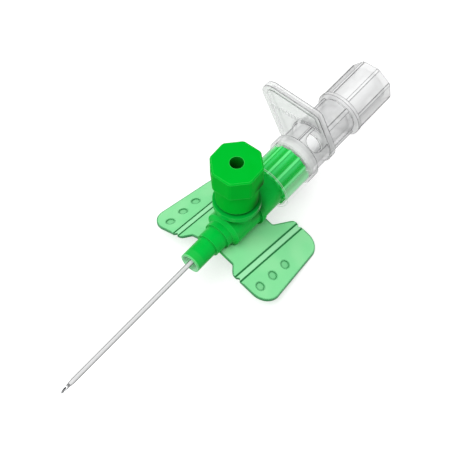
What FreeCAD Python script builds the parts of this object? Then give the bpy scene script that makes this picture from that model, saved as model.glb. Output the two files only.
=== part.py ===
import FreeCAD, Part
import math
import os
from FreeCAD import Vector

# Intravenous cannula, 18 gauge, with wings and an injection port.
# Millimetres. The needle's axis is the X axis and the port stands along +Z.
# The origin is on that axis, in the front face of the hub's nose, where the catheter comes out.

# Small gaps
fit_clearance = 0.04
snug_clearance = 0.03
same_place = 0.01

# Catheter and needle
catheter_radius = 0.65
catheter_bore = 0.49
catheter_length = 45.0
catheter_taper = 1.4
catheter_tip_wall = 0.03
needle_radius = 0.45
needle_bore = 0.31
needle_lead = 3.3
bevel_length = 2.6

# Nose and steps of the catheter hub
nose_length = 7.0
nose_radius = 2.90
nose_wall = 0.50
nose_recess = 2.4
second_length = 3.7
second_radius = 3.40
third_length = 1.8
third_radius = 3.90

# Barrel of the catheter hub
barrel_length = 9.9
barrel_radius = 5.15
shoulder_length = 0.8
ring_width = 1.5
ring_radius = 5.80
neck_length = 6.8
neck_radius = 5.45

# Female luer at the rear of the catheter hub
luer_length = 10.0
luer_outer_radius = 5.60
luer_mouth_radius = 2.135
luer_depth = 7.0
luer_taper = 0.03
luer_tube_wall = 1.15
luer_rib_count = 12
luer_rib_width = 0.90
luer_rib_height = 0.30
coring_depth = 6.5
coring_wall = 0.95

# Seat of the catheter and its ferrule in the hub
flare_start = 5.8
flare_length = 1.2
flare_radius = 1.10
ferrule_wall = 0.12

# Port valve
valve_outer_radius = 2.60
valve_wall = 0.70
valve_length = 8.6

# Injection port
port_x = 18.7
port_base_radius = 4.60
port_flange_radius = 6.35
port_flange_bottom = 7.0
port_flange_thickness = 1.5
port_neck_radius = 3.30
port_neck_length = 7.3
port_bore_depth = 4.8
port_channel_radius = 1.25

# Cap of the injection port
cap_sides = 8
cap_corner_radius = 7.05
cap_corner_angle = 70.0
cap_head_height = 6.7
cap_skirt_radius = 5.65
cap_skirt_height = 8.2
cap_skirt_gap = 1.2
cap_wall = 1.05
cap_seat_gap = 0.05
cap_plug_length = 4.0
cap_recess_radius = 1.85
cap_recess_depth = 5.0
cap_plug_hole_radius = 0.95
cap_edge = 0.35

# Wings
wing_thickness = 0.80
wing_height = 0.40
wing_pitch = 11.5
wing_droop = 19.5
wing_front_x = 6.4
wing_rear_x = 32.1
wing_front_reach = 20.7
wing_rear_reach = 17.7
wing_root_front_x = 8.7
wing_root_front_y = 6.9
wing_root_rear_x = 26.2
wing_root_rear_y = 6.0
wing_lobe_y = 8.7
wing_front_corner = 4.6
wing_rear_corner = 4.4
wing_inner_corner = 1.6
wing_root_corner = 0.8
fold_y = 10.65
fold_spacing = 1.70
fold_line_width = 0.35
fold_line_depth = 0.25
fold_notch_depth = 0.60
dimple_count = 3
dimple_first_x = 10.7
dimple_pitch = 5.1
dimple_y = 15.5
dimple_radius = 1.15
dimple_depth = 0.22

# Needle hub: cup over the luer, waist with two windows, finger plate
needle_hub_turn = 32.0
cup_front_x = 31.0
cup_rear_x = 44.3
cup_room = 0.40
cup_wall = 0.75
cup_end_wall = 1.60
cup_edge = 0.45
male_luer_length = 6.0
waist_outer_radius = 6.30
waist_wall = 1.05
window_half_width = 2.65
window_clearance = 0.25
window_front_x = 44.6
waist_bead_angle = 55.0
waist_bead_width = 0.50
waist_bead_height = 0.30
plate_x = 49.85
plate_thickness = 0.90
plate_rim_front = 0.40
plate_rim_rear = 0.55
plate_rim_width = 1.60
plate_ring_radius = 6.70
plate_shoulder_reach = 5.2
plate_shoulder_half_width = 11.2
plate_tip_reach = 19.7
plate_tip_radius = 3.8
plate_inner_corner = 0.40
grip_rib_count = 9
grip_rib_pitch = 1.10
grip_rib_width = 0.45
grip_rib_length = 1.40
grip_rib_height = 0.20
grip_row_reach = 10.3
grip_row_offset = -1.0
grip_row_angle = 140.0

# Flashback chamber
chamber_radius = 5.45
chamber_wall = 1.00
chamber_rear_x = 61.3
chamber_rib_count = 4
chamber_rib_width = 1.15
chamber_rib_height = 0.55
spigot_radius = 2.50
spigot_length = 2.4
spigot_wall = 0.70
socket_wall = 0.60
chamber_neck_length = 8.2
chamber_luer_depth = 4.8
chamber_neck_wall = 1.20
filter_length = 3.0
needle_end_room = 0.9

# End cap
end_cap_gap = 0.35
end_cap_length = 15.0
end_cap_rib_radius = 6.75
end_cap_flat_radius = 6.20
end_cap_rim_radius = 6.95
end_cap_rim_width = 1.0
end_cap_wall = 1.10
end_cap_floor = 1.30
end_cap_rib_count = 8
end_cap_rib_width = 0.85
end_cap_rib_angle = 105.0
end_cap_plug_length = 3.8
end_cap_stem_radius = 2.60
end_cap_edge = 0.40

# Places that follow from the sizes above
second_x = nose_length
third_x = second_x + second_length
barrel_x = third_x + third_length
barrel_rear_x = barrel_x + barrel_length
neck_x = barrel_rear_x + ring_width
luer_x = neck_x + neck_length
luer_rear_x = luer_x + luer_length
luer_rib_radius = luer_outer_radius + luer_rib_height
cup_inner_radius = luer_rib_radius + cup_room
cup_outer_radius = cup_inner_radius + cup_wall
flange_top_z = port_flange_bottom + port_flange_thickness
port_mouth_z = flange_top_z + port_neck_length
cap_skirt_bottom_z = flange_top_z + cap_skirt_gap
cap_head_z = cap_skirt_bottom_z + cap_skirt_height
cap_top_z = cap_head_z + cap_head_height
cap_ceiling_z = port_mouth_z + cap_seat_gap
plate_shoulder_radius = plate_rim_width + plate_inner_corner
plate_front_x = plate_x + plate_rim_front
plate_rear_x = plate_front_x + plate_thickness + plate_rim_rear
socket_x = plate_rear_x - spigot_length
core_radius = spigot_radius + socket_wall
chamber_x = plate_rear_x
chamber_neck_rear_x = chamber_rear_x + chamber_neck_length
filter_front_x = chamber_rear_x
end_cap_x = chamber_rear_x + end_cap_gap
end_cap_rear_x = end_cap_x + end_cap_length
needle_rear_x = socket_x + needle_end_room

X_AXIS = Vector(1, 0, 0)
Y_AXIS = Vector(0, 1, 0)
Z_AXIS = Vector(0, 0, 1)
ORIGIN = Vector(0, 0, 0)


def turned(points):
    """Solid of revolution about the X axis from a closed outline of (x, radius) points."""
    corners = [Vector(x, 0, radius) for x, radius in points]
    outline = Part.makePolygon(corners + [corners[0]])
    return Part.Face(outline).revolve(ORIGIN, X_AXIS, 360)


def rod(start_x, end_x, radius):
    """Cylinder on the X axis."""
    return Part.makeCylinder(radius, end_x - start_x, Vector(start_x, 0, 0), X_AXIS)


def block(low, high):
    """Box between two corners."""
    size = [high[i] - low[i] for i in range(3)]
    return Part.makeBox(size[0], size[1], size[2], Vector(low[0], low[1], low[2]))


def around(shape, count, first_angle):
    """Copies of a shape, spaced evenly round the X axis from the side of +Z."""
    copies = []
    for index in range(count):
        turned_copy = shape.copy()
        turned_copy.rotate(ORIGIN, X_AXIS, first_angle + 360 / count * index)
        copies.append(turned_copy)
    return copies


def rib(start_x, end_x, inner, outer, width):
    """Straight bar along X on the side of +Z, from one radius to another."""
    return block((start_x, -width / 2, inner), (end_x, width / 2, outer))


def circles_at(shape, x, radius):
    """Circular edges about the X axis at one station and radius."""
    found = []
    for edge in shape.Edges:
        if isinstance(edge.Curve, Part.Circle):
            same_x = abs(edge.Curve.Center.x - x) < same_place
            if same_x and abs(edge.Curve.Radius - radius) < same_place:
                found.append(edge)
    return found


def prism(points, height, radii):
    """Polygon in XY raised along Z, its upright edges rounded where a radius is given."""
    corners = [Vector(x, y, 0) for x, y in points]
    solid = Part.Face(Part.makePolygon(corners + [corners[0]])).extrude(Vector(0, 0, height))
    for corner, radius in zip(corners, radii):
        if radius > 0:
            edge = upright_edge(solid, corner)
            solid = solid.makeFillet(radius, [edge])
    return solid


def upright_edge(solid, corner):
    """The edge along Z that stands on one corner of a prism."""
    for edge in solid.Edges:
        ends = [vertex.Point for vertex in edge.Vertexes]
        off_line = [math.hypot(end.x - corner.x, end.y - corner.y) for end in ends]
        if len(ends) == 2 and max(off_line) < same_place:
            return edge
    raise ValueError("no upright edge at this corner")


def save(shape, name):
    shape.exportStep("parts/" + name + ".step")
    print(name, "solids", len(shape.Solids), "volume", round(shape.Volume, 2), "valid", shape.isValid())


def catheter_tube():
    """Soft tube, tapered at its tip, flared at its root over the ferrule."""
    tip_x = -catheter_length
    wall = catheter_radius - catheter_bore
    flare_end = flare_start + flare_length
    return turned([
        (tip_x, catheter_bore),
        (tip_x, catheter_bore + catheter_tip_wall),
        (tip_x + catheter_taper, catheter_radius),
        (flare_start, catheter_radius),
        (flare_end, flare_radius),
        (flare_end, flare_radius - wall),
        (flare_start, catheter_bore),
    ])


def catheter_ferrule():
    """Thin metal funnel that wedges the flared root of the tube into the hub."""
    wall = catheter_radius - catheter_bore
    slope = (flare_radius - catheter_radius) / flare_length
    seat = flare_radius - wall - snug_clearance
    front_radius = catheter_bore + ferrule_wall
    flare_end = flare_start + flare_length
    front_x = flare_end - (seat - front_radius) / slope
    return turned([
        (front_x, front_radius - ferrule_wall),
        (front_x, front_radius),
        (flare_end, seat),
        (flare_end, seat - ferrule_wall),
    ])


def hub_outside():
    """Stepped outside of the catheter hub, from the nose to the rear of the luer."""
    outline = [
        (0, 0),
        (0, nose_radius),
        (second_x, nose_radius),
        (second_x, second_radius),
        (third_x, second_radius),
        (third_x, third_radius),
        (barrel_x, third_radius),
        (barrel_x + shoulder_length, barrel_radius),
        (barrel_rear_x, barrel_radius),
        (barrel_rear_x, ring_radius),
        (neck_x, ring_radius),
        (neck_x, neck_radius),
        (luer_x, neck_radius),
        (luer_x, luer_outer_radius),
        (luer_rear_x, luer_outer_radius),
        (luer_rear_x, 0),
    ]
    body = turned(outline)
    one_rib = rib(luer_x, luer_rear_x, luer_outer_radius - luer_rib_height,
                  luer_rib_radius, luer_rib_width)
    return body.multiFuse(around(one_rib, luer_rib_count, 0))


def port_outside():
    """Chimney of the injection port with its round flange and its neck."""
    parts = [
        Part.makeCylinder(port_base_radius, port_flange_bottom, Vector(port_x, 0, 0), Z_AXIS),
        Part.makeCylinder(port_flange_radius, port_flange_thickness,
                          Vector(port_x, 0, port_flange_bottom), Z_AXIS),
        Part.makeCylinder(port_neck_radius, port_neck_length, Vector(port_x, 0, flange_top_z), Z_AXIS),
    ]
    return parts[0].multiFuse(parts[1:])


def on_wing(shape, side):
    """Carries a shape from flat wing coordinates into the wing's sloping plane."""
    placed = shape.copy()
    placed.rotate(ORIGIN, X_AXIS, -wing_droop * side)
    placed.rotate(ORIGIN, Y_AXIS, wing_pitch)
    placed.translate(Vector(0, 0, wing_height))
    return placed


def wing_slab(side):
    """Thin plate in the wing's sloping plane, larger than the wing."""
    reach = wing_rear_x + wing_front_reach
    return on_wing(block((-reach, -reach, -wing_thickness), (reach, reach, 0)), side)


def wing(side):
    """One wing: outline, two fold lines with a notch at their end, and three round dimples."""
    outline = [
        (wing_root_front_x, 0),
        (wing_root_front_x, side * wing_root_front_y),
        (wing_front_x, side * wing_lobe_y),
        (wing_front_x, side * wing_front_reach),
        (wing_rear_x, side * wing_rear_reach),
        (wing_rear_x, side * wing_lobe_y),
        (wing_root_rear_x, side * wing_root_rear_y),
        (wing_root_rear_x, 0),
    ]
    radii = [0, wing_root_corner, wing_inner_corner, wing_front_corner, wing_rear_corner,
             wing_inner_corner, wing_root_corner, 0]
    column = prism(outline, 2 * wing_rear_x, radii)
    column.translate(Vector(0, 0, -wing_rear_x))
    panel = column.common(wing_slab(side))
    cos_droop = math.cos(math.radians(wing_droop))
    cuts = []
    for offset in (-fold_spacing / 2, fold_spacing / 2):
        line_y = side * (fold_y + offset) / cos_droop
        line = block((0, line_y - fold_line_width / 2, -fold_line_depth),
                     (2 * wing_rear_x, line_y + fold_line_width / 2, wing_thickness))
        cuts.append(on_wing(line, side))
    for index in range(dimple_count):
        centre_x = (dimple_first_x + dimple_pitch * index) / math.cos(math.radians(wing_pitch))
        centre = Vector(centre_x, side * dimple_y / cos_droop, -dimple_depth)
        dimple = Part.makeCylinder(dimple_radius, wing_thickness, centre, Z_AXIS)
        cuts.append(on_wing(dimple, side))
    for end_x, inward in ((wing_front_x, fold_notch_depth), (wing_rear_x, -fold_notch_depth)):
        notch = prism([
            (end_x - inward, side * fold_y - 2 * fold_notch_depth),
            (end_x - inward, side * fold_y + 2 * fold_notch_depth),
            (end_x + inward, side * fold_y),
        ], 2 * wing_rear_x, [0, 0, 0])
        notch.translate(Vector(0, 0, -wing_rear_x))
        cuts.append(notch)
    return panel.cut(cuts)


def hub_inside():
    """Every hollow of the catheter hub, from the open nose to the luer mouth and the port."""
    flare_end = flare_start + flare_length
    throat_radius = flare_radius + snug_clearance
    valve_x = port_x - valve_length / 2 - fit_clearance
    valve_end = port_x + valve_length / 2 + fit_clearance
    valve_seat = valve_outer_radius + fit_clearance
    luer_floor = luer_rear_x - luer_depth
    luer_end_radius = luer_mouth_radius - luer_taper * luer_depth
    bore = turned([
        (0, 0),
        (0, nose_radius - nose_wall),
        (nose_recess, nose_radius - nose_wall),
        (nose_recess, catheter_radius + snug_clearance),
        (flare_start, catheter_radius + snug_clearance),
        (flare_end, throat_radius),
        (valve_x, throat_radius),
        (valve_x, valve_seat),
        (valve_end, valve_seat),
        (valve_end, luer_end_radius),
        (luer_floor, luer_end_radius),
        (luer_rear_x, luer_mouth_radius),
        (luer_rear_x, 0),
    ])
    tube_outer = luer_mouth_radius + luer_tube_wall
    sleeve_inner = luer_outer_radius - coring_wall
    coring = rod(luer_rear_x - coring_depth, luer_rear_x, sleeve_inner)
    coring = coring.cut(rod(luer_rear_x - coring_depth, luer_rear_x, tube_outer))
    port_floor = port_mouth_z - port_bore_depth
    port_bore = Part.makeCone(luer_mouth_radius - luer_taper * port_bore_depth, luer_mouth_radius,
                              port_bore_depth, Vector(port_x, 0, port_floor), Z_AXIS)
    channel = Part.makeCylinder(port_channel_radius, port_floor, Vector(port_x, 0, 0), Z_AXIS)
    return bore.multiFuse([coring, port_bore, channel])


def catheter_hub():
    """One moulding: nose, barrel, luer, port and both wings."""
    outside = hub_outside().multiFuse([port_outside(), wing(1), wing(-1)])
    return outside.cut(hub_inside()).removeSplitter()


def port_valve():
    """Soft sleeve in the barrel that closes the port from inside."""
    start_x = port_x - valve_length / 2
    sleeve = rod(start_x, start_x + valve_length, valve_outer_radius)
    return sleeve.cut(rod(start_x, start_x + valve_length, valve_outer_radius - valve_wall))


def port_cap():
    """Eight-sided snap cap with a round skirt, a plug for the port and a blind hole in its top."""
    corners = []
    for index in range(cap_sides):
        angle = math.radians(cap_corner_angle + 360 / cap_sides * index)
        corners.append((port_x + cap_corner_radius * math.cos(angle), cap_corner_radius * math.sin(angle)))
    head = prism(corners, cap_head_height, [0] * cap_sides)
    head.translate(Vector(0, 0, cap_head_z))
    edges = [edge for edge in head.Edges if max(v.Z for v in edge.Vertexes) > cap_top_z - same_place]
    head = head.makeChamfer(cap_edge, edges)
    centre = Vector(port_x, 0, cap_skirt_bottom_z)
    skirt = Part.makeCylinder(cap_skirt_radius, cap_skirt_height, centre, Z_AXIS)
    shell = head.fuse(skirt)
    cavity_radius = cap_skirt_radius - cap_wall
    cavity = Part.makeCylinder(cavity_radius, cap_ceiling_z - cap_skirt_bottom_z, centre, Z_AXIS)
    plug_bottom = port_mouth_z - cap_plug_length
    plug_length = cap_plug_length + 2 * cap_seat_gap
    plug_tip_radius = luer_mouth_radius - fit_clearance - luer_taper * cap_plug_length
    plug = Part.makeCone(plug_tip_radius, plug_tip_radius + luer_taper * plug_length, plug_length,
                         Vector(port_x, 0, plug_bottom), Z_AXIS)
    body = shell.cut(cavity).fuse(plug)
    recess = Part.makeCylinder(cap_recess_radius, cap_recess_depth,
                               Vector(port_x, 0, cap_top_z - cap_recess_depth), Z_AXIS)
    hole_bottom = plug_bottom + cap_wall
    hole = Part.makeCylinder(cap_plug_hole_radius, cap_top_z - hole_bottom,
                             Vector(port_x, 0, hole_bottom), Z_AXIS)
    return body.cut([recess, hole]).removeSplitter()


def needle_tube():
    """Steel tube with a ground bevel at its tip."""
    tip_x = -catheter_length - needle_lead
    tube = rod(tip_x, needle_rear_x, needle_radius).cut(rod(tip_x, needle_rear_x, needle_bore))
    diameter = 2 * needle_radius
    grind = block((-bevel_length, -diameter, 0), (2 * bevel_length, diameter, bevel_length))
    grind.rotate(ORIGIN, Y_AXIS, -math.degrees(math.atan2(diameter, bevel_length)))
    grind.translate(Vector(tip_x, 0, -needle_radius))
    return tube.cut(grind)


def touch_angle(point, centre, radius, turn):
    """Direction of the radius where the tangent from a point touches a circle."""
    away = point - centre
    return math.atan2(away.y, away.x) + turn * math.acos(radius / away.Length)


def crossing(first_angle, first_offset, second_angle, second_offset):
    """Point where two lines meet, each given by its normal's direction and its distance."""
    turn = math.sin(second_angle - first_angle)
    x = (first_offset * math.sin(second_angle) - second_offset * math.sin(first_angle)) / turn
    y = (second_offset * math.cos(first_angle) - first_offset * math.cos(second_angle)) / turn
    return Vector(x, y, 0)


def on_circle(centre, radius, angle):
    """Point of a circle in the XY plane."""
    return centre + Vector(radius * math.cos(angle), radius * math.sin(angle), 0)


def plate_prism(inset, thickness):
    """Kite with round corners that closes round the body, its outline moved in by an inset."""
    shoulder = Vector(plate_shoulder_reach, plate_shoulder_half_width, 0)
    tip_centre = Vector(plate_tip_reach - plate_tip_radius, 0, 0)
    flank = touch_angle(shoulder, tip_centre, plate_tip_radius, -1)
    back = touch_angle(shoulder, ORIGIN, plate_ring_radius, 1)
    flank_offset = tip_centre.x * math.cos(flank) + plate_tip_radius
    corner = crossing(flank, flank_offset - plate_shoulder_radius,
                      back, plate_ring_radius - plate_shoulder_radius)
    corner_radius = plate_shoulder_radius - inset
    half = [
        on_circle(tip_centre, plate_tip_radius - inset, flank),
        on_circle(corner, corner_radius, flank),
        on_circle(corner, corner_radius, (flank + back) / 2),
        on_circle(corner, corner_radius, back),
        on_circle(ORIGIN, plate_ring_radius - inset, back),
    ]
    other = [Vector(point.x, -point.y, 0) for point in half]
    tip = Vector(plate_tip_reach - inset, 0, 0)
    rear = Vector(inset - plate_ring_radius, 0, 0)
    edges = [
        Part.Arc(other[0], tip, half[0]),
        Part.LineSegment(half[0], half[1]),
        Part.Arc(half[1], half[2], half[3]),
        Part.LineSegment(half[3], half[4]),
        Part.Arc(half[4], rear, other[4]),
        Part.LineSegment(other[4], other[3]),
        Part.Arc(other[3], other[2], other[1]),
        Part.LineSegment(other[1], other[0]),
    ]
    outline = Part.Wire([edge.toShape() for edge in edges])
    return Part.Face(outline).extrude(Vector(0, 0, thickness))


def upright_plate(inset, start_x, end_x):
    """The finger plate's prism stood across the X axis, its tip along +Y."""
    solid = plate_prism(inset, end_x - start_x)
    solid.rotate(ORIGIN, Z_AXIS, 90)
    solid.rotate(ORIGIN, Y_AXIS, 90)
    solid.translate(Vector(start_x, 0, 0))
    return solid


def grip_ribs():
    """Row of short raised ribs across the front face of the finger plate."""
    ribs = []
    for index in range(grip_rib_count):
        along = (index - (grip_rib_count - 1) / 2) * grip_rib_pitch
        rib = block((plate_front_x - grip_rib_height, along - grip_rib_width / 2, -grip_rib_length / 2),
                    (plate_front_x + grip_rib_height, along + grip_rib_width / 2, grip_rib_length / 2))
        rib.rotate(ORIGIN, X_AXIS, grip_row_angle)
        rib.translate(Vector(0, grip_row_reach, grip_row_offset))
        ribs.append(rib)
    return ribs


def needle_hub():
    """Clear moulding: cup, male luer, waist with two arched windows, finger plate with a rim."""
    cup = rod(cup_front_x, cup_rear_x, cup_outer_radius)
    cup = cup.makeChamfer(cup_edge, circles_at(cup, cup_rear_x, cup_outer_radius))
    cup = cup.cut(rod(cup_front_x, cup_rear_x - cup_end_wall, cup_inner_radius))
    waist_inner = waist_outer_radius - waist_wall
    waist = rod(cup_rear_x - cup_end_wall, plate_front_x, waist_outer_radius)
    waist = waist.cut(rod(cup_rear_x, plate_x, waist_inner))
    tip_x = luer_rear_x - male_luer_length
    male_radius = luer_mouth_radius - fit_clearance
    tip_radius = male_radius - luer_taper * male_luer_length
    luer = turned([
        (tip_x, 0),
        (tip_x, tip_radius),
        (luer_rear_x, male_radius),
        (cup_rear_x, male_radius),
        (cup_rear_x, 0),
    ])
    core = rod(cup_rear_x - cup_end_wall, plate_front_x, core_radius)
    rim = upright_plate(0, plate_x, plate_rear_x)
    rim = rim.cut(upright_plate(plate_rim_width, plate_x, plate_rear_x))
    web = upright_plate(0, plate_front_x, plate_front_x + plate_thickness)
    boss = rod(plate_x, plate_rear_x, plate_ring_radius)
    beads = []
    for angle in (waist_bead_angle, -waist_bead_angle):
        bead = block((cup_rear_x, waist_inner, -waist_bead_width / 2),
                     (plate_front_x, waist_outer_radius + waist_bead_height, waist_bead_width / 2))
        bead.rotate(ORIGIN, X_AXIS, angle)
        beads.append(bead)
    body = cup.multiFuse([waist, luer, core, rim, web, boss] + beads + grip_ribs())
    windows = []
    for side in (1, -1):
        far = side * plate_ring_radius
        near = side * (core_radius + window_clearance)
        arch_x = window_front_x + window_half_width
        slot = block((arch_x, -window_half_width, min(near, far)),
                     (plate_x, window_half_width, max(near, far)))
        arch = Part.makeCylinder(window_half_width, abs(far - near),
                                 Vector(arch_x, 0, min(near, far)), Z_AXIS)
        windows.append(slot.fuse(arch))
    socket = rod(socket_x, plate_rear_x, spigot_radius + snug_clearance)
    needle_hole = rod(tip_x, plate_rear_x, needle_radius + snug_clearance)
    body = body.cut(windows + [socket, needle_hole]).removeSplitter()
    body.rotate(ORIGIN, X_AXIS, needle_hub_turn)
    return body


def flash_chamber():
    """Clear ribbed chamber with a spigot at its front and a female luer at its rear."""
    inner = chamber_radius - chamber_wall
    neck_outer = luer_mouth_radius + chamber_neck_wall
    floor_radius = luer_mouth_radius - luer_taper * chamber_luer_depth
    outside = turned([
        (socket_x, 0),
        (socket_x, spigot_radius),
        (chamber_x, spigot_radius),
        (chamber_x, chamber_radius),
        (chamber_rear_x, chamber_radius),
        (chamber_rear_x, neck_outer),
        (chamber_neck_rear_x, neck_outer),
        (chamber_neck_rear_x, 0),
    ])
    hollow = turned([
        (socket_x, 0),
        (socket_x, spigot_radius - spigot_wall),
        (chamber_x + chamber_wall, spigot_radius - spigot_wall),
        (chamber_x + chamber_wall, inner),
        (chamber_rear_x - chamber_wall, inner),
        (chamber_rear_x - chamber_wall, floor_radius),
        (chamber_neck_rear_x - chamber_luer_depth, floor_radius),
        (chamber_neck_rear_x, luer_mouth_radius),
        (chamber_neck_rear_x, 0),
    ])
    one_rib = rib(chamber_x, chamber_rear_x, inner + chamber_wall / 2,
                  chamber_radius + chamber_rib_height, chamber_rib_width)
    ribs = around(one_rib, chamber_rib_count, needle_hub_turn)
    return outside.multiFuse(ribs).cut(hollow).removeSplitter()


def vent_filter():
    """Porous plug at the bottom of the chamber's luer, which lets air out and holds blood back."""
    seat_radius = luer_mouth_radius - luer_taper * chamber_luer_depth
    return rod(filter_front_x, filter_front_x + filter_length, seat_radius - snug_clearance)


def end_cap():
    """Eight-sided stopper with a narrow rib on each corner, open at the front round its plug."""
    flat_corner = end_cap_flat_radius / math.cos(math.pi / end_cap_rib_count)
    corners = []
    for index in range(end_cap_rib_count):
        angle = math.radians(end_cap_rib_angle) + 2 * math.pi / end_cap_rib_count * index
        corners.append(Vector(end_cap_x, flat_corner * math.cos(angle), flat_corner * math.sin(angle)))
    face = Part.Face(Part.makePolygon(corners + [corners[0]]))
    body = face.extrude(Vector(end_cap_length, 0, 0))
    one_rib = rib(end_cap_x, end_cap_rear_x, end_cap_flat_radius - end_cap_wall,
                  end_cap_rib_radius, end_cap_rib_width)
    crest = one_rib.BoundBox
    corner = [edge for edge in one_rib.Edges
              if edge.BoundBox.XMin > crest.XMax - same_place
              and edge.BoundBox.ZMin > crest.ZMax - same_place]
    one_rib = one_rib.makeChamfer(end_cap_edge, corner)
    ribs = around(one_rib, end_cap_rib_count, end_cap_rib_angle)
    rim = rod(end_cap_x, end_cap_x + end_cap_rim_width, end_cap_rim_radius)
    body = body.multiFuse(ribs + [rim])
    cavity = rod(end_cap_x, end_cap_rear_x - end_cap_floor, end_cap_flat_radius - end_cap_wall)
    plug_front = chamber_neck_rear_x - end_cap_plug_length
    shoulder_x = chamber_neck_rear_x + end_cap_gap
    plug_tip_radius = luer_mouth_radius - fit_clearance - luer_taper * end_cap_plug_length
    stem = turned([
        (plug_front, 0),
        (plug_front, plug_tip_radius),
        (shoulder_x, plug_tip_radius + luer_taper * (shoulder_x - plug_front)),
        (shoulder_x, end_cap_stem_radius),
        (end_cap_rear_x - end_cap_floor, end_cap_stem_radius),
        (end_cap_rear_x - end_cap_floor, 0),
    ])
    return body.cut(cavity).fuse(stem).removeSplitter()


def build():
    os.makedirs("parts", exist_ok=True)
    save(catheter_tube(), "catheter_tube")
    save(catheter_ferrule(), "catheter_ferrule")
    save(catheter_hub(), "catheter_hub")
    save(port_valve(), "port_valve")
    save(port_cap(), "port_cap")
    save(needle_tube(), "needle_tube")
    save(needle_hub(), "needle_hub")
    save(flash_chamber(), "flash_chamber")
    save(vent_filter(), "vent_filter")
    save(end_cap(), "end_cap")


build()
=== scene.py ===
import math
import bpy
from mathutils import Matrix, Vector


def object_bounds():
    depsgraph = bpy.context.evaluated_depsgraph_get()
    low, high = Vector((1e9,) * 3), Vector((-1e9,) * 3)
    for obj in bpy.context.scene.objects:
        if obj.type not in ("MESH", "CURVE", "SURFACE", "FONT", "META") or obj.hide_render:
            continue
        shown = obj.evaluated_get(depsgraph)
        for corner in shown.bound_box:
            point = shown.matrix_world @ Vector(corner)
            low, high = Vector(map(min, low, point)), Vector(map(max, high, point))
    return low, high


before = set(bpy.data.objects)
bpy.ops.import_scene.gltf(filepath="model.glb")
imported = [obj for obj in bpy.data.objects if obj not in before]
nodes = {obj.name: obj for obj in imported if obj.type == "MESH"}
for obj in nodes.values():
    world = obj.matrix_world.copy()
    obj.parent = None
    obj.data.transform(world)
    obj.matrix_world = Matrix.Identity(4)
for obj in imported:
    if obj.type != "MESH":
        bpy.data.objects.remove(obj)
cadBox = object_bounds()
print("frame loaded:", ", ".join(sorted(nodes)))

mm = 0.001


# Node tools: a short way to add a shader node, set its sockets and join them
def addNode(tree, kind, values=None, **settings):
    node = tree.nodes.new(kind)
    for name, value in settings.items():
        setattr(node, name, value)
    for socket, value in (values or {}).items():
        node.inputs[socket].default_value = value
    return node


def join(tree, fromSocket, toSocket):
    tree.links.new(fromSocket, toSocket)


def startGroup(name, inputs, outputs):
    group = bpy.data.node_groups.new(name, "ShaderNodeTree")
    for socketName, socketType, default in inputs:
        socket = group.interface.new_socket(socketName, in_out="INPUT", socket_type=socketType)
        if default is not None:
            socket.default_value = default
    for socketName, socketType in outputs:
        group.interface.new_socket(socketName, in_out="OUTPUT", socket_type=socketType)
    return group, group.nodes.new("NodeGroupInput"), group.nodes.new("NodeGroupOutput")


# Moulded skin: the faint waviness and fine grain that a polished mould leaves in plastic
def buildMouldSkin():
    group, given, out = startGroup(
        "mouldSkin",
        [("Wave Size", "NodeSocketFloat", 260.0), ("Grain Size", "NodeSocketFloat", 2600.0),
         ("Grain Share", "NodeSocketFloat", 0.25)],
        [("Height", "NodeSocketFloat"), ("Mottle", "NodeSocketFloat")],
    )
    place = addNode(group, "ShaderNodeTexCoord")
    wave = addNode(group, "ShaderNodeTexNoise", {"Detail": 2.0})
    grain = addNode(group, "ShaderNodeTexNoise", {"Detail": 3.0, "Roughness": 0.6})
    blend = addNode(group, "ShaderNodeMix", data_type="FLOAT")
    join(group, place.outputs["Object"], wave.inputs["Vector"])
    join(group, place.outputs["Object"], grain.inputs["Vector"])
    join(group, given.outputs["Wave Size"], wave.inputs["Scale"])
    join(group, given.outputs["Grain Size"], grain.inputs["Scale"])
    join(group, given.outputs["Grain Share"], blend.inputs[0])
    join(group, wave.outputs["Fac"], blend.inputs[2])
    join(group, grain.outputs["Fac"], blend.inputs[3])
    join(group, blend.outputs[0], out.inputs["Height"])
    join(group, wave.outputs["Fac"], out.inputs["Mottle"])
    return group


mouldSkin = buildMouldSkin()


# Span mask: 0 below one place along an axis, 1 above another, with a soft step between
def buildSpanMask():
    group, given, out = startGroup(
        "spanMask",
        [("Value", "NodeSocketFloat", 0.0), ("Low", "NodeSocketFloat", 0.0),
         ("High", "NodeSocketFloat", 1.0)],
        [("Mask", "NodeSocketFloat")],
    )
    step = addNode(group, "ShaderNodeMapRange", interpolation_type="SMOOTHSTEP")
    join(group, given.outputs["Value"], step.inputs["Value"])
    join(group, given.outputs["Low"], step.inputs["From Min"])
    join(group, given.outputs["High"], step.inputs["From Max"])
    join(group, step.outputs["Result"], out.inputs["Mask"])
    return group


spanMask = buildSpanMask()


# Edge line: 1 on a sharp edge, 0 away from it, from how far a rounded normal leaves the true one
def buildEdgeLine():
    group, given, out = startGroup(
        "edgeLine",
        [("Radius", "NodeSocketFloat", 0.0002), ("Low", "NodeSocketFloat", 0.02),
         ("High", "NodeSocketFloat", 0.20)],
        [("Mask", "NodeSocketFloat")],
    )
    rounded = addNode(group, "ShaderNodeBevel", samples=6)
    true = addNode(group, "ShaderNodeNewGeometry")
    both = addNode(group, "ShaderNodeVectorMath", operation="DOT_PRODUCT")
    away = addNode(group, "ShaderNodeMath", {0: 1.0}, operation="SUBTRACT")
    step = addNode(group, "ShaderNodeMapRange", interpolation_type="SMOOTHSTEP")
    join(group, given.outputs["Radius"], rounded.inputs["Radius"])
    join(group, rounded.outputs["Normal"], both.inputs[0])
    join(group, true.outputs["Normal"], both.inputs[1])
    join(group, both.outputs["Value"], away.inputs[1])
    join(group, away.outputs["Value"], step.inputs["Value"])
    join(group, given.outputs["Low"], step.inputs["From Min"])
    join(group, given.outputs["High"], step.inputs["From Max"])
    join(group, step.outputs["Result"], out.inputs["Mask"])
    return group


edgeLine = buildEdgeLine()


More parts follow.
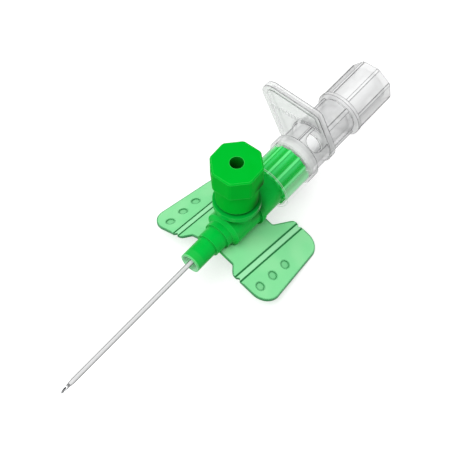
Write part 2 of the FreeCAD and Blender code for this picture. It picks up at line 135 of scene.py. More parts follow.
# Hollow shade: 1 deep in a corner or under another piece, 0 on an open face
def buildHollowShade():
    group, given, out = startGroup(
        "hollowShade",
        [("Distance", "NodeSocketFloat", 0.004), ("Low", "NodeSocketFloat", 0.25),
         ("High", "NodeSocketFloat", 0.95)],
        [("Mask", "NodeSocketFloat")],
    )
    shade = addNode(group, "ShaderNodeAmbientOcclusion", samples=8)
    step = addNode(group, "ShaderNodeMapRange", {"To Min": 1.0, "To Max": 0.0})
    join(group, given.outputs["Distance"], shade.inputs["Distance"])
    join(group, shade.outputs["AO"], step.inputs["Value"])
    join(group, given.outputs["Low"], step.inputs["From Min"])
    join(group, given.outputs["High"], step.inputs["From Max"])
    join(group, step.outputs["Result"], out.inputs["Mask"])
    return group


hollowShade = buildHollowShade()


def placeGroup(tree, group, values=None):
    node = tree.nodes.new("ShaderNodeGroup")
    node.node_tree = group
    for socket, value in (values or {}).items():
        node.inputs[socket].default_value = value
    return node


def edgeMask(tree, radius, span):
    line = placeGroup(tree, edgeLine, {"Radius": radius, "Low": span[0], "High": span[1]})
    return line.outputs["Mask"]


def hollowMask(tree, distance, span):
    shade = placeGroup(tree, hollowShade, {"Distance": distance, "Low": span[0], "High": span[1]})
    return shade.outputs["Mask"]


def startMaterial(name, shaderValues):
    material = bpy.data.materials.new(name)
    material.use_nodes = True
    tree = material.node_tree
    shader = tree.nodes["Principled BSDF"]
    for socket, value in shaderValues.items():
        shader.inputs[socket].default_value = value
    return material, tree, shader


def addSkin(tree, shader, skinValues, strength, distance):
    skin = placeGroup(tree, mouldSkin, skinValues)
    bump = addNode(tree, "ShaderNodeBump", {"Strength": strength, "Distance": distance})
    join(tree, skin.outputs["Height"], bump.inputs["Height"])
    join(tree, bump.outputs["Normal"], shader.inputs["Normal"])
    return skin


def mixColours(tree, maskSocket, first, second):
    mix = addNode(tree, "ShaderNodeMix", data_type="RGBA")
    mix.inputs[6].default_value = (*first, 1.0)
    mix.inputs[7].default_value = (*second, 1.0)
    join(tree, maskSocket, mix.inputs[0])
    return mix


# Roughness follows the waviness, whose noise lies mostly within this span
mottleSpan = (0.3, 0.7)


def roughnessFrom(tree, skin, shader, low, high):
    spread = addNode(tree, "ShaderNodeMapRange", {
        "From Min": mottleSpan[0], "From Max": mottleSpan[1], "To Min": low, "To Max": high,
    })
    join(tree, skin.outputs["Mottle"], spread.inputs["Value"])
    join(tree, spread.outputs["Result"], shader.inputs["Roughness"])


def smoothMask(tree, valueSocket, low, high):
    mask = placeGroup(tree, spanMask, {"Low": low, "High": high})
    join(tree, valueSocket, mask.inputs["Value"])
    return mask.outputs["Mask"]


def mathOf(tree, operation, first, second=None):
    node = addNode(tree, "ShaderNodeMath", operation=operation)
    for index, value in enumerate((first, second)):
        if isinstance(value, (int, float)):
            node.inputs[index].default_value = value
        elif value is not None:
            join(tree, value, node.inputs[index])
    return node.outputs[0]


def blendColours(tree, maskSocket, baseSocket, colour):
    mix = addNode(tree, "ShaderNodeMix", data_type="RGBA")
    join(tree, maskSocket, mix.inputs[0])
    join(tree, baseSocket, mix.inputs[6])
    mix.inputs[7].default_value = (*colour, 1.0)
    return mix.outputs[2]


# Green hub: deep where the walls are thick, pale where the wings and the nose's rim are thin, with painted
# shade in its hollows and dimples, a painted shadow behind the port cap, painted highlights on its edges and
# along the luer's ribs, and a painted band of light beside each rib
hubLook = {
    "deep": (0.0, 0.49, 0.038), "glow": (0.001, 0.58, 0.066), "shade": (0.0, 0.08, 0.002),
    "light": (0.08, 0.78, 0.20), "soft": (0.36, 0.90, 0.44), "pale": (0.27, 0.84, 0.375),
    "band": (0.40, 0.92, 0.50), "line": (0.010, 0.24, 0.050), "edge": (0.045, 0.30, 0.10),
    "inside": (0.45, 0.90, 0.55), "ribHighlight": (0.18, 1.0, 0.33), "ribSideLight": (0.044, 0.72, 0.16),
    "specular": 0.08, "roughness": (0.24, 0.36), "bump": (0.12, 0.05 * mm),
    "wingRoot": (5.85 * mm, 6.0 * mm), "wingSlab": (0.44 * mm, 0.52 * mm),
    "wingPlane": (0.1880, 0.3338, 0.9237), "wingHeight": 0.40 * mm, "wingFlat": (0.986, 0.996),
    "patchScale": 130.0, "patchSpan": (0.42, 0.68), "patchShare": 0.55,
    "sunkDepth": (-0.20 * mm, -0.06 * mm), "sunkTurn": (0.35, 0.75), "sunkShare": 0.22,
    "foldLines": (9.80 * mm, 11.50 * mm), "foldHalf": 0.24 * mm, "foldCore": 0.6, "besideFold": (3, 4),
    "noseRecess": 2.4 * mm, "noseSoft": 0.3 * mm, "noseShare": 0.05,
    "noseBore": 2.45 * mm, "boreSoft": 0.2 * mm, "noseRim": (0.25 * mm, 0.55 * mm), "rimShare": 0.55,
    "luerFront": 30.9 * mm, "luerSoft": 0.1 * mm, "ribRadius": (5.66 * mm, 5.80 * mm),
    "ribCount": 12, "ribLine": (0.26 * mm, 0.40 * mm), "ribShare": 0.85, "besideSpan": (0.32, 0.62),
    "edgeRadius": 0.30 * mm, "edgeSpan": (0.01, 0.10), "edgeShare": 0.30,
    "outlineRadius": 0.75 * mm, "outlineSpan": (0.008, 0.05),
    "shadeReach": 6.0 * mm, "shadeSpan": (0.15, 0.85), "shadeEnd": 1.2 * mm,
    "behindPort": (18.0 * mm, 22.0 * mm), "frontShade": 0.72,
    "capShade": (21.7 * mm, -4.9 * mm, 5.6 * mm), "capShadeReach": (1.6 * mm, 5.4 * mm),
    "capShadeShare": 0.80,
}


# Distance of a point from the X axis
def axisDistance(tree, split):
    rise = mathOf(tree, "MULTIPLY", split.outputs["Z"], split.outputs["Z"])
    spread = mathOf(tree, "MULTIPLY", split.outputs["Y"], split.outputs["Y"])
    return mathOf(tree, "POWER", mathOf(tree, "ADD", rise, spread), 0.5)


def weighted(tree, sockets, weights):
    parts = [mathOf(tree, "MULTIPLY", socket, weight) for socket, weight in zip(sockets, weights)]
    return mathOf(tree, "ADD", mathOf(tree, "ADD", parts[0], parts[1]), parts[2])


def inverse(tree, maskSocket):
    return mathOf(tree, "SUBTRACT", 1.0, maskSocket)


# Soft ball of shade: 1 round a point, 0 beyond its reach
def nearPoint(tree, place, point, reach):
    off = addNode(tree, "ShaderNodeVectorMath", operation="DISTANCE")
    off.inputs[1].default_value = point
    join(tree, place.outputs["Object"], off.inputs[0])
    return inverse(tree, smoothMask(tree, off.outputs["Value"], *reach))


def buildHubPlastic():
    look = hubLook
    material, tree, shader = startMaterial("hubPlastic", {
        "IOR": 1.49, "Specular IOR Level": look["specular"],
    })
    place = addNode(tree, "ShaderNodeTexCoord")
    split = addNode(tree, "ShaderNodeSeparateXYZ")
    facing = addNode(tree, "ShaderNodeSeparateXYZ")
    join(tree, place.outputs["Object"], split.inputs["Vector"])
    join(tree, place.outputs["Normal"], facing.inputs["Vector"])
    side = mathOf(tree, "ABSOLUTE", split.outputs["Y"])
    reach = axisDistance(tree, split)
    away = weighted(tree, (split.outputs["X"], side, split.outputs["Z"]), look["wingPlane"])
    level = mathOf(tree, "SUBTRACT", away, look["wingHeight"] * look["wingPlane"][2])
    middle = mathOf(tree, "ABSOLUTE", mathOf(tree, "ADD", level, look["wingHeight"]))
    inSlab = inverse(tree, smoothMask(tree, middle, *look["wingSlab"]))
    sideTurn = mathOf(tree, "MULTIPLY", facing.outputs["Y"], mathOf(tree, "SIGN", split.outputs["Y"]))
    along = weighted(tree, (facing.outputs["X"], sideTurn, facing.outputs["Z"]), look["wingPlane"])
    flat = smoothMask(tree, mathOf(tree, "ABSOLUTE", along), *look["wingFlat"])
    flat = mathOf(tree, "MULTIPLY", flat, inSlab)
    onWing = mathOf(tree, "MULTIPLY", smoothMask(tree, reach, *look["wingRoot"]), inSlab)
    onWing = mathOf(tree, "MAXIMUM", onWing, flat)
    recess, soft = look["noseRecess"], look["noseSoft"]
    onNose = inverse(tree, smoothMask(tree, split.outputs["X"], recess - soft, recess + soft))
    offBore = smoothMask(tree, reach, look["noseBore"], look["noseBore"] + look["boreSoft"])
    inNose = mathOf(tree, "MULTIPLY", onNose, inverse(tree, offBore))
    noseRim = inverse(tree, smoothMask(tree, split.outputs["X"], *look["noseRim"]))
    luerFront = look["luerFront"]
    inCup = smoothMask(tree, split.outputs["X"], luerFront, luerFront + look["luerSoft"])
    # Painted highlight: a pale streak along the middle of each rib of the luer
    onRib = mathOf(tree, "MULTIPLY", smoothMask(tree, reach, *look["ribRadius"]), inCup)
    turn = mathOf(tree, "ARCTAN2", split.outputs["Z"], split.outputs["Y"])
    step = 2 * math.pi / look["ribCount"]
    offRib = mathOf(tree, "MULTIPLY", mathOf(tree, "PINGPONG", turn, step / 2), reach)
    onRib = mathOf(tree, "MULTIPLY", onRib, inverse(tree, smoothMask(tree, offRib, *look["ribLine"])))
    # Painted light: a lighter band in the valley on one side of each rib
    phase = mathOf(tree, "FRACT", mathOf(tree, "DIVIDE", turn, step))
    ribSideLight = mathOf(tree, "MULTIPLY", inCup, inverse(tree, smoothMask(tree, phase, *look["besideSpan"])))
    skin = addSkin(tree, shader, {}, *look["bump"])
    colour = mixColours(tree, skin.outputs["Mottle"], look["deep"], look["glow"]).outputs[2]
    shade = hollowMask(tree, look["shadeReach"], look["shadeSpan"])
    outsideCup = inverse(tree, smoothMask(tree, split.outputs["X"], luerFront - look["shadeEnd"], luerFront))
    behindPort = smoothMask(tree, split.outputs["X"], *look["behindPort"])
    shadeShare = addNode(tree, "ShaderNodeMapRange", {"To Min": look["frontShade"], "To Max": 1.0})
    join(tree, behindPort, shadeShare.inputs["Value"])
    shadeShare = mathOf(tree, "MULTIPLY", shadeShare.outputs["Result"], outsideCup)
    shaded = mathOf(tree, "MULTIPLY", shade, shadeShare)
    capShade = nearPoint(tree, place, look["capShade"], look["capShadeReach"])
    capShade = mathOf(tree, "MULTIPLY", mathOf(tree, "MULTIPLY", capShade, outsideCup), look["capShadeShare"])
    colour = blendColours(tree, mathOf(tree, "MAXIMUM", shaded, capShade), colour, look["shade"])
    colour = blendColours(tree, mathOf(tree, "MULTIPLY", onNose, look["noseShare"]), colour, look["pale"])
    colour = blendColours(tree, mathOf(tree, "MULTIPLY", noseRim, look["rimShare"]), colour, look["pale"])
    colour = blendColours(tree, inNose, colour, look["inside"])
    # Painted light beside each rib, then painted highlights along the ribs
    colour = blendColours(tree, ribSideLight, colour, look["ribSideLight"])
    colour = blendColours(tree, mathOf(tree, "MULTIPLY", onRib, look["ribShare"]), colour, look["ribHighlight"])
    # Painted highlight: a thin pale green line along the hub's sharp edges, later covered on the wings
    edge = edgeMask(tree, look["edgeRadius"], look["edgeSpan"])
    colour = blendColours(tree, mathOf(tree, "MULTIPLY", edge, look["edgeShare"]), colour, look["light"])
    colour = blendColours(tree, onWing, colour, look["edge"])
    onFace = mathOf(tree, "MULTIPLY", onWing, flat)
    colour = blendColours(tree, onFace, colour, look["pale"])
    patches = addNode(tree, "ShaderNodeTexNoise", {"Scale": look["patchScale"], "Detail": 1.0})
    join(tree, place.outputs["Object"], patches.inputs["Vector"])
    patchy = mathOf(tree, "MULTIPLY", smoothMask(tree, patches.outputs["Fac"], *look["patchSpan"]), onFace)
    colour = blendColours(tree, mathOf(tree, "MULTIPLY", patchy, look["patchShare"]), colour, look["soft"])
    inner, outer = look["foldLines"]
    half = look["foldHalf"]
    between = mathOf(tree, "MULTIPLY", smoothMask(tree, side, inner, inner + half),
                     inverse(tree, smoothMask(tree, side, outer - half, outer)))
    colour = blendColours(tree, mathOf(tree, "MULTIPLY", between, flat), colour, look["band"])
    # Painted shade: the floors of the dimples and fold grooves, sunk below the wing's face, are darkened
    sunk = mathOf(tree, "MULTIPLY", inverse(tree, smoothMask(tree, level, *look["sunkDepth"])),
                  smoothMask(tree, facing.outputs["Z"], *look["sunkTurn"]))
    sunk = mathOf(tree, "MULTIPLY", sunk, flat)
    colour = blendColours(tree, mathOf(tree, "MULTIPLY", sunk, look["sunkShare"]), colour, look["edge"])
    for line in look["foldLines"]:
        gap = mathOf(tree, "ABSOLUTE", mathOf(tree, "SUBTRACT", side, line))
        near = inverse(tree, smoothMask(tree, gap, look["foldCore"] * half, half))
        colour = blendColours(tree, mathOf(tree, "MULTIPLY", near, onWing), colour, look["line"])
    close, far = (count * half for count in look["besideFold"])
    besideFold = mathOf(tree, "MULTIPLY", smoothMask(tree, side, inner - far, inner - close),
                        inverse(tree, smoothMask(tree, side, outer + close, outer + far)))
    outline = edgeMask(tree, look["outlineRadius"], look["outlineSpan"])
    outlined = mathOf(tree, "MULTIPLY", outline, inverse(tree, besideFold))
    outlined = mathOf(tree, "MULTIPLY", mathOf(tree, "MAXIMUM", outlined, edge), onWing)
    colour = blendColours(tree, outlined, colour, look["edge"])
    join(tree, colour, shader.inputs["Base Color"])
    roughnessFrom(tree, skin, shader, *look["roughness"])
    return material


# Port cap: a deeper, opaque green with painted highlights on its edges, painted shade in its hollows, and a
# painted shadow at its corner and along its skirt
capLook = {
    "deep": (0.0, 0.48, 0.022), "glow": (0.0, 0.53, 0.032), "light": (0.12, 0.84, 0.22),
    "shade": (0.0, 0.17, 0.004), "darkest": (0.0, 0.07, 0.001),
    "specular": 0.01, "roughness": (0.44, 0.56), "bump": (0.15, 0.05 * mm),
    "edgeRadius": 0.25 * mm, "edgeSpan": (0.01, 0.12), "edgeShare": 0.60,
    "shadeReach": 6.0 * mm, "shadeSpan": (0.0, 0.9), "shadeShare": 0.80,
    "cornerShade": (20.6 * mm, -6.6 * mm, 17.9 * mm), "cornerReach": (0.8 * mm, 3.8 * mm),
    "skirtShade": (20.9 * mm, -5.3 * mm, 9.9 * mm), "skirtReach": (0.8 * mm, 5.4 * mm),
}


def buildCapPlastic():
    look = capLook
    material, tree, shader = startMaterial("capPlastic", {
        "IOR": 1.49, "Specular IOR Level": look["specular"],
    })
    place = addNode(tree, "ShaderNodeTexCoord")
    skin = addSkin(tree, shader, {}, *look["bump"])
    colour = mixColours(tree, skin.outputs["Mottle"], look["deep"], look["glow"]).outputs[2]
    # Painted highlight: a pale line along the cap's sharp edges
    edge = edgeMask(tree, look["edgeRadius"], look["edgeSpan"])
    colour = blendColours(tree, mathOf(tree, "MULTIPLY", edge, look["edgeShare"]), colour, look["light"])
    shade = hollowMask(tree, look["shadeReach"], look["shadeSpan"])
    colour = blendColours(tree, shade, colour, look["shade"])
    # Painted shadow: two soft dark patches, at the cap's corner and along its skirt, on the side away from
    # the lamp
    dark = mathOf(tree, "MAXIMUM", nearPoint(tree, place, look["cornerShade"], look["cornerReach"]),
                  nearPoint(tree, place, look["skirtShade"], look["skirtReach"]))
    colour = blendColours(tree, mathOf(tree, "MULTIPLY", dark, look["shadeShare"]), colour, look["darkest"])
    join(tree, colour, shader.inputs["Base Color"])
    roughnessFrom(tree, skin, shader, *look["roughness"])
    return material


# Clear plastic: a thin grey veil with dark edge lines and a milky core, green only where the luer is near, as
# painted light from the luer refracted in the wall, with grey bands of painted shade where it turns away and
# a painted highlight round the cup's mouth
clearLook = {
    "face": (0.89, 0.893, 0.896), "light": (0.95, 0.952, 0.954), "rim": (0.10, 0.102, 0.104),
    "side": (0.50, 0.504, 0.508), "core": (0.98, 0.982, 0.984), "body": (0.76, 0.764, 0.768),
    "grip": (0.66, 0.664, 0.668), "tint": (0.42, 1.00, 0.54), "mouthLight": (0.76, 0.98, 0.82),
    "specular": 0.08, "roughness": (0.05, 0.12), "bump": (0.08, 0.05 * mm), "shadow": 0.10,
    "faceAlpha": 0.45, "rimAlpha": 0.85, "edgeAlpha": 0.85, "coreAlpha": 0.94, "cupAlpha": 0.01,
    "gripAlpha": 0.46, "tintAlpha": (0.50, 0.70),
    "turnedRim": (0.62, 0.92), "turnedCup": (0.84, 0.96), "turnedTint": (0.18, 0.55),
    "turnedSide": (0.30, 0.70), "turnedAlpha": (0.44, 0.72),
    "lowSide": (0.0, -0.92, -0.38), "lowSpan": (0.1, 0.7),
    "sideBase": 0.4, "sideShare": 0.08, "sideOnCap": 0.22, "capSoft": 0.3 * mm,
    "edgeRadius": 0.36 * mm, "edgeSpan": (0.01, 0.10),
    "plateRadius": 0.60 * mm, "plateEdgeSpan": (0.01, 0.06), "plateSpan": (49.4 * mm, 52.0 * mm),
    "plateSoft": 0.1 * mm, "plateReach": 7.6 * mm, "plateReachSoft": 0.4 * mm,
    "plateTop": (0.0, -0.530, 0.848), "plateHalf": 0.8 * mm, "lowPlate": 0.65,
    "gripPlace": (9.265 * mm, 4.610 * mm), "gripAlong": (-0.990, 0.139),
    "gripHalf": (5.0 * mm, 1.0 * mm), "gripSoft": 0.2 * mm, "gripFace": 50.16 * mm, "gripDepth": 0.03 * mm,
    "bodySpan": (42.9 * mm, 61.4 * mm), "bodySoft": 0.4 * mm, "bodyReach": (7.2 * mm, 7.8 * mm),
    "coreRadius": (3.35 * mm, 3.75 * mm), "cup": (40.5 * mm, 41.3 * mm), "mouth": (31.6 * mm, 32.2 * mm),
    "tintReach": 6.75 * mm, "tintSoft": 0.1 * mm, "tintNear": 1.2 * mm, "tintSpan": (0.04, 0.20),
}


# Grip zone: 1 in the strip of the finger plate that carries the row of grip ribs
def gripZone(tree, split):
    look = clearLook
    sideways = mathOf(tree, "SUBTRACT", split.outputs["Y"], look["gripPlace"][0])
    upwards = mathOf(tree, "SUBTRACT", split.outputs["Z"], look["gripPlace"][1])
    turnY, turnZ = look["gripAlong"]
    along = mathOf(tree, "ADD", mathOf(tree, "MULTIPLY", sideways, turnY),
                   mathOf(tree, "MULTIPLY", upwards, turnZ))
    across = mathOf(tree, "SUBTRACT", mathOf(tree, "MULTIPLY", sideways, turnZ),
                    mathOf(tree, "MULTIPLY", upwards, turnY))
    plateFront, plateRear = look["plateSpan"]
    soft = look["plateSoft"]
    zone = smoothMask(tree, split.outputs["X"], plateFront - soft, plateFront)
    for offset, half in zip((along, across), look["gripHalf"]):
        off = mathOf(tree, "ABSOLUTE", offset)
        beyond = smoothMask(tree, off, half, half + look["gripSoft"])
        zone = mathOf(tree, "MULTIPLY", zone, inverse(tree, beyond))
    behind = smoothMask(tree, split.outputs["X"], plateRear, plateRear + soft)
    return mathOf(tree, "MULTIPLY", zone, inverse(tree, behind))


# Luer near: 1 on the cup's bore where the green luer stands close inside it, on either side of its wall
def luerNear(tree, reach):
    look = clearLook
    inBore = inverse(tree, smoothMask(tree, reach, look["tintReach"] - look["tintSoft"], look["tintReach"]))
    sides = []
    for inwards in (False, True):
        nearby = addNode(tree, "ShaderNodeAmbientOcclusion", {"Distance": look["tintNear"]},
                         samples=6, inside=inwards)
        sides.append(smoothMask(tree, inverse(tree, nearby.outputs["AO"]), *look["tintSpan"]))
    seenSide = addNode(tree, "ShaderNodeNewGeometry").outputs["Backfacing"]
    front = mathOf(tree, "MULTIPLY", sides[0], inverse(tree, seenSide))
    back = mathOf(tree, "MULTIPLY", sides[1], seenSide)
    return mathOf(tree, "MULTIPLY", inBore, mathOf(tree, "ADD", front, back))


def buildClearPlastic():
    look = clearLook
    material, tree, shader = startMaterial("clearPlastic", {
        "IOR": 1.45, "Specular IOR Level": look["specular"],
    })
    place = addNode(tree, "ShaderNodeTexCoord")
    split = addNode(tree, "ShaderNodeSeparateXYZ")
    join(tree, place.outputs["Object"], split.inputs["Vector"])
    skin = addSkin(tree, shader, {}, *look["bump"])
    roughnessFrom(tree, skin, shader, *look["roughness"])
    turned = addNode(tree, "ShaderNodeLayerWeight", {"Blend": 0.5})
    behindCup = smoothMask(tree, split.outputs["X"], *look["cup"])
    turnedAway = smoothMask(tree, turned.outputs["Facing"], *look["turnedRim"])
    turnedAway = mathOf(tree, "MULTIPLY", turnedAway, behindCup)
    onCup = smoothMask(tree, turned.outputs["Facing"], *look["turnedCup"])
    turnedAway = mathOf(tree, "MAXIMUM", turnedAway, onCup)
    edge = edgeMask(tree, look["edgeRadius"], look["edgeSpan"])
    # Painted light: the luer's green, refracted in the cup's wall, where the luer stands close inside it
    tinted = mathOf(tree, "MULTIPLY", smoothMask(tree, turned.outputs["Facing"], *look["turnedTint"]),
                    inverse(tree, behindCup))
    reach = axisDistance(tree, split)
    tinted = mathOf(tree, "MULTIPLY", tinted, luerNear(tree, reach))
    facing = addNode(tree, "ShaderNodeSeparateXYZ")
    join(tree, place.outputs["Normal"], facing.inputs["Vector"])
    # Low side: facing down and away from the lamp, where the painted shade and the painted luer green are
    # stronger
    lowSide = weighted(tree, (facing.outputs["X"], facing.outputs["Y"], facing.outputs["Z"]), look["lowSide"])
    lowSide = smoothMask(tree, lowSide, *look["lowSpan"])
    sideways = smoothMask(tree, turned.outputs["Facing"], *look["turnedSide"])
    sideways = mathOf(tree, "MULTIPLY", sideways, behindCup)
    plateFront, plateRear = look["plateSpan"]
    soft, plateReach = look["plateSoft"], look["plateReach"]
    onPlate = mathOf(tree, "MULTIPLY", smoothMask(tree, split.outputs["X"], plateFront - soft, plateFront),
                     smoothMask(tree, reach, plateReach - look["plateReachSoft"], plateReach))
    behindPlate = smoothMask(tree, split.outputs["X"], plateRear, plateRear + soft)
    onPlate = mathOf(tree, "MULTIPLY", onPlate, inverse(tree, behindPlate))
    topSide = weighted(tree, (split.outputs["X"], split.outputs["Y"], split.outputs["Z"]), look["plateTop"])
    upper = smoothMask(tree, topSide, -look["plateHalf"], look["plateHalf"])
    lowPlate = mathOf(tree, "MULTIPLY", onPlate, inverse(tree, upper))
    lowPlate = mathOf(tree, "MULTIPLY", lowPlate, look["lowPlate"])
    onPlate = mathOf(tree, "MULTIPLY", onPlate, upper)
    plateEdge = edgeMask(tree, look["plateRadius"], look["plateEdgeSpan"])
    edge = mathOf(tree, "MAXIMUM", edge, mathOf(tree, "MULTIPLY", onPlate, plateEdge))
    inGrip = gripZone(tree, split)
    gripFace = look["gripFace"]
    offGrip = smoothMask(tree, split.outputs["X"], gripFace - look["gripDepth"], gripFace)
    onGrip = mathOf(tree, "MULTIPLY", inGrip, inverse(tree, offGrip))
    edge = mathOf(tree, "MULTIPLY", edge, inverse(tree, mathOf(tree, "MAXIMUM", inGrip, lowPlate)))
    core = inverse(tree, smoothMask(tree, reach, *look["coreRadius"]))
    front, rear = look["bodySpan"]
    soft = look["bodySoft"]
    body = mathOf(tree, "MULTIPLY", smoothMask(tree, split.outputs["X"], front - soft, front),
                  inverse(tree, smoothMask(tree, split.outputs["X"], rear, rear + soft)))
    body = mathOf(tree, "MULTIPLY", body, inverse(tree, smoothMask(tree, reach, *look["bodyReach"])))
    colour = mixColours(tree, skin.outputs["Mottle"], look["face"], look["light"]).outputs[2]
    colour = blendColours(tree, body, colour, look["body"])
    # Painted shade: grey bands where the surface turns away behind the cup, darker on the low side and on the
    # end cap
    onCap = smoothMask(tree, split.outputs["X"], rear, rear + look["capSoft"])
    capShare = mathOf(tree, "ADD", look["sideShare"], mathOf(tree, "MULTIPLY", onCap, look["sideOnCap"]))
    sidewaysShare = mathOf(tree, "MULTIPLY", mathOf(tree, "ADD", look["sideBase"], lowSide), capShare)
    colour = blendColours(tree, mathOf(tree, "MULTIPLY", sideways, sidewaysShare), colour, look["side"])
    colour = blendColours(tree, core, colour, look["core"])
    colour = blendColours(tree, onGrip, colour, look["grip"])
    # Painted light: the luer's refracted green
    colour = blendColours(tree, tinted, colour, look["tint"])
    colour = blendColours(tree, mathOf(tree, "MAXIMUM", turnedAway, edge), colour, look["rim"])
    # Painted highlight: a pale green line along the edges round the cup's mouth
    behindMouth = smoothMask(tree, split.outputs["X"], *look["mouth"])
    onMouth = mathOf(tree, "MULTIPLY", edge, inverse(tree, behindMouth))
    colour = blendColours(tree, onMouth, colour, look["mouthLight"])
    join(tree, colour, shader.inputs["Base Color"])
    veil = addNode(tree, "ShaderNodeMapRange", {"To Min": look["cupAlpha"], "To Max": look["faceAlpha"]})
    join(tree, behindCup, veil.inputs["Value"])
    # The painted luer green is denser near the cup's outline and on its low side
    evenTint, lowTint = look["tintAlpha"]
    nearRim = smoothMask(tree, turned.outputs["Facing"], *look["turnedAlpha"])
    tintAlpha = mathOf(tree, "ADD", mathOf(tree, "MULTIPLY", nearRim, evenTint),
                       mathOf(tree, "MULTIPLY", lowSide, lowTint))
    alpha = mathOf(tree, "MAXIMUM", veil.outputs["Result"], mathOf(tree, "MULTIPLY", core, look["coreAlpha"]))
    alpha = mathOf(tree, "MAXIMUM", alpha, mathOf(tree, "MULTIPLY", onGrip, look["gripAlpha"]))
    alpha = mathOf(tree, "MAXIMUM", alpha, mathOf(tree, "MULTIPLY", tinted, tintAlpha))
    alpha = mathOf(tree, "MAXIMUM", alpha, mathOf(tree, "MULTIPLY", turnedAway, look["rimAlpha"]))
    alpha = mathOf(tree, "MAXIMUM", alpha, mathOf(tree, "MULTIPLY", edge, look["edgeAlpha"]))
    seen = addNode(tree, "ShaderNodeLightPath")
    shade = addNode(tree, "ShaderNodeMapRange", {"To Min": 1.0, "To Max": look["shadow"]})
    join(tree, seen.outputs["Is Shadow Ray"], shade.inputs["Value"])
    join(tree, mathOf(tree, "MULTIPLY", alpha, shade.outputs["Result"]), shader.inputs["Alpha"])
    return material


# Catheter: a pale tube, clear enough to show the steel inside it as a faint core
catheterLook = {
    "face": (0.86, 0.862, 0.865), "light": (0.91, 0.912, 0.915), "rim": (0.07, 0.072, 0.075),
    "specular": 0.3, "roughness": (0.15, 0.25), "waveSize": 600.0, "bump": (0.05, 0.02 * mm),
    "turned": (0.16, 0.60), "faceAlpha": 0.82, "rimAlpha": 0.95,
}


def buildCatheterPlastic():
    look = catheterLook
    material, tree, shader = startMaterial("catheterPlastic", {
        "IOR": 1.36, "Specular IOR Level": look["specular"],
    })
    skin = addSkin(tree, shader, {"Wave Size": look["waveSize"]}, *look["bump"])
    roughnessFrom(tree, skin, shader, *look["roughness"])
    turned = addNode(tree, "ShaderNodeLayerWeight", {"Blend": 0.5})
    turnedAway = smoothMask(tree, turned.outputs["Facing"], *look["turned"])
    face = mixColours(tree, skin.outputs["Mottle"], look["face"], look["light"]).outputs[2]
    join(tree, blendColours(tree, turnedAway, face, look["rim"]), shader.inputs["Base Color"])
    alpha = addNode(tree, "ShaderNodeMapRange", {"To Min": look["faceAlpha"], "To Max": look["rimAlpha"]})
    join(tree, turnedAway, alpha.inputs["Value"])
    join(tree, alpha.outputs["Result"], shader.inputs["Alpha"])
    return material


# Steel: fine drawing lines along the tube, darker where it turns away
steelLook = {
    "deep": (0.36, 0.364, 0.37), "light": (0.48, 0.485, 0.49), "rim": (0.10, 0.102, 0.105),
    "grain": (60.0, 3000.0, 3000.0), "turned": (0.15, 0.60), "roughness": (0.20, 0.38),
}


def buildSteel():
    look = steelLook
    material, tree, shader = startMaterial("drawnSteel", {"Metallic": 1.0})
    place = addNode(tree, "ShaderNodeTexCoord")
    stretch = addNode(tree, "ShaderNodeMapping")
    stretch.inputs["Scale"].default_value = look["grain"]
    drawn = addNode(tree, "ShaderNodeTexNoise", {"Scale": 1.0, "Detail": 3.0})
    join(tree, place.outputs["Object"], stretch.inputs["Vector"])
    join(tree, stretch.outputs["Vector"], drawn.inputs["Vector"])
    colour = mixColours(tree, drawn.outputs["Fac"], look["deep"], look["light"]).outputs[2]
    turned = addNode(tree, "ShaderNodeLayerWeight", {"Blend": 0.5})
    turnedAway = smoothMask(tree, turned.outputs["Facing"], *look["turned"])
    join(tree, blendColours(tree, turnedAway, colour, look["rim"]), shader.inputs["Base Color"])
    smooth, rough = look["roughness"]
    spread = addNode(tree, "ShaderNodeMapRange", {"To Min": smooth, "To Max": rough})
    join(tree, drawn.outputs["Fac"], spread.inputs["Value"])
    join(tree, spread.outputs["Result"], shader.inputs["Roughness"])
    return material


# Silicone: the soft valve inside the barrel
siliconeLook = {
    "deep": (0.70, 0.72, 0.68), "light": (0.80, 0.82, 0.79),
    "grainShare": 0.5, "bump": (0.2, 0.05 * mm), "roughness": (0.45, 0.6),
}


def buildSilicone():
    look = siliconeLook
    material, tree, shader = startMaterial("siliconeRubber", {"IOR": 1.41})
    skin = addSkin(tree, shader, {"Grain Share": look["grainShare"]}, *look["bump"])
    colour = mixColours(tree, skin.outputs["Mottle"], look["deep"], look["light"])
    join(tree, colour.outputs[2], shader.inputs["Base Color"])
    roughnessFrom(tree, skin, shader, *look["roughness"])
    return material


# Filter: a coarse porous plug in the flash chamber
filterLook = {
    "deep": (0.72, 0.71, 0.67), "light": (0.92, 0.92, 0.89),
    "skin": {"Wave Size": 1800.0, "Grain Size": 6000.0, "Grain Share": 0.6},
    "bump": (0.8, 0.1 * mm), "roughness": (0.75, 0.9),
}


def buildFilterFibre():
    look = filterLook
    material, tree, shader = startMaterial("filterFibre", {"IOR": 1.49})
    skin = addSkin(tree, shader, look["skin"], *look["bump"])
    colour = mixColours(tree, skin.outputs["Height"], look["deep"], look["light"])
    join(tree, colour.outputs[2], shader.inputs["Base Color"])
    roughnessFrom(tree, skin, shader, *look["roughness"])
    return material


finishes = {
    "catheter_hub": buildHubPlastic(),
    "port_cap": buildCapPlastic(),
    "catheter_tube": buildCatheterPlastic(),
    "needle_tube": buildSteel(),
    "port_valve": buildSilicone(),
    "vent_filter": buildFilterFibre(),
}
finishes["catheter_ferrule"] = finishes["needle_tube"]
clearPlastic = buildClearPlastic()
for name in ("needle_hub", "flash_chamber", "end_cap"):
    finishes[name] = clearPlastic
for name, material in finishes.items():
    nodes[name].data.materials.clear()
    nodes[name].data.materials.append(material)
print("materials set")


# Floor: a pale sheet that the camera, gloss and clear plastic see as white, with the soft shadow kept
floorLook = {"half": 3.0, "glow": 0.60, "colour": (0.58, 0.58, 0.58)}


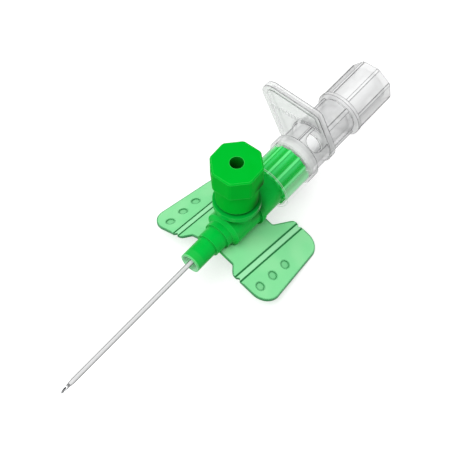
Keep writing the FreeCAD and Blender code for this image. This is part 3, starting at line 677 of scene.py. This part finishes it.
def buildFloor():
    look = floorLook
    bpy.ops.object.select_all(action="DESELECT")
    bpy.ops.mesh.primitive_plane_add(size=2 * look["half"], location=(0, 0, cadBox[0].z))
    floor = bpy.context.active_object
    floor.name = "floor"
    material, tree, shader = startMaterial("floorPaper", {"Roughness": 0.9, "Specular IOR Level": 0.0})
    shader.inputs["Base Color"].default_value = (*look["colour"], 1.0)
    shader.inputs["Emission Color"].default_value = (1.0, 1.0, 1.0, 1.0)
    seen = addNode(tree, "ShaderNodeLightPath")
    first = addNode(tree, "ShaderNodeMath", operation="MAXIMUM")
    second = addNode(tree, "ShaderNodeMath", operation="MAXIMUM")
    glow = addNode(tree, "ShaderNodeMath", operation="MULTIPLY")
    glow.inputs[1].default_value = look["glow"]
    join(tree, seen.outputs["Is Camera Ray"], first.inputs[0])
    join(tree, seen.outputs["Is Glossy Ray"], first.inputs[1])
    join(tree, first.outputs[0], second.inputs[0])
    join(tree, seen.outputs["Is Transmission Ray"], second.inputs[1])
    join(tree, second.outputs[0], glow.inputs[0])
    join(tree, glow.outputs[0], shader.inputs["Emission Strength"])
    floor.data.materials.append(material)
    return floor


buildFloor()

# Light: one large soft lamp above the front and an even world, which the camera sees in the floor's tone
lightLook = {
    "world": 0.48, "seenWorld": 0.87,
    "lampPower": 9.2, "lampSize": 0.8, "lampPlace": (-0.42, 0.06, 1.02),
}


def buildLight():
    look = lightLook
    world = bpy.data.worlds.new("softStudio")
    bpy.context.scene.world = world
    world.use_nodes = True
    sky = world.node_tree.nodes["Background"]
    sky.inputs["Color"].default_value = (1.0, 1.0, 1.0, 1.0)
    seen = addNode(world.node_tree, "ShaderNodeLightPath")
    strength = addNode(world.node_tree, "ShaderNodeMapRange", {
        "To Min": look["world"], "To Max": look["seenWorld"],
    })
    join(world.node_tree, seen.outputs["Is Camera Ray"], strength.inputs["Value"])
    join(world.node_tree, strength.outputs["Result"], sky.inputs["Strength"])
    lamp = bpy.data.lights.new("softBox", "AREA")
    lamp.energy = look["lampPower"]
    lamp.size = look["lampSize"]
    box = bpy.data.objects.new("softBox", lamp)
    bpy.context.scene.collection.objects.link(box)
    box.location = look["lampPlace"]
    box.rotation_euler = (-Vector(look["lampPlace"])).to_track_quat("-Z", "Y").to_euler()


buildLight()

# Camera: above the needle's side, turned as in the photograph
cameraLook = {
    "place": (-0.1490, -0.1420, 0.3432),
    "aim": (0.01242, -0.00129, 0.00466),
    "roll": math.radians(0.96),
    "lens": 125.0,
}


def buildCamera():
    look = cameraLook
    data = bpy.data.cameras.new("photoCamera")
    data.lens = look["lens"]
    camera = bpy.data.objects.new("photoCamera", data)
    bpy.context.scene.collection.objects.link(camera)
    place = Vector(look["place"])
    turn = (Vector(look["aim"]) - place).to_track_quat("-Z", "Y").to_matrix()
    turn = turn @ Matrix.Rotation(-look["roll"], 3, "Z")
    camera.matrix_world = Matrix.Translation(place) @ turn.to_4x4()
    bpy.context.scene.camera = camera


buildCamera()
bpy.context.scene.view_settings.view_transform = "Standard"
print("floor, light and camera set")
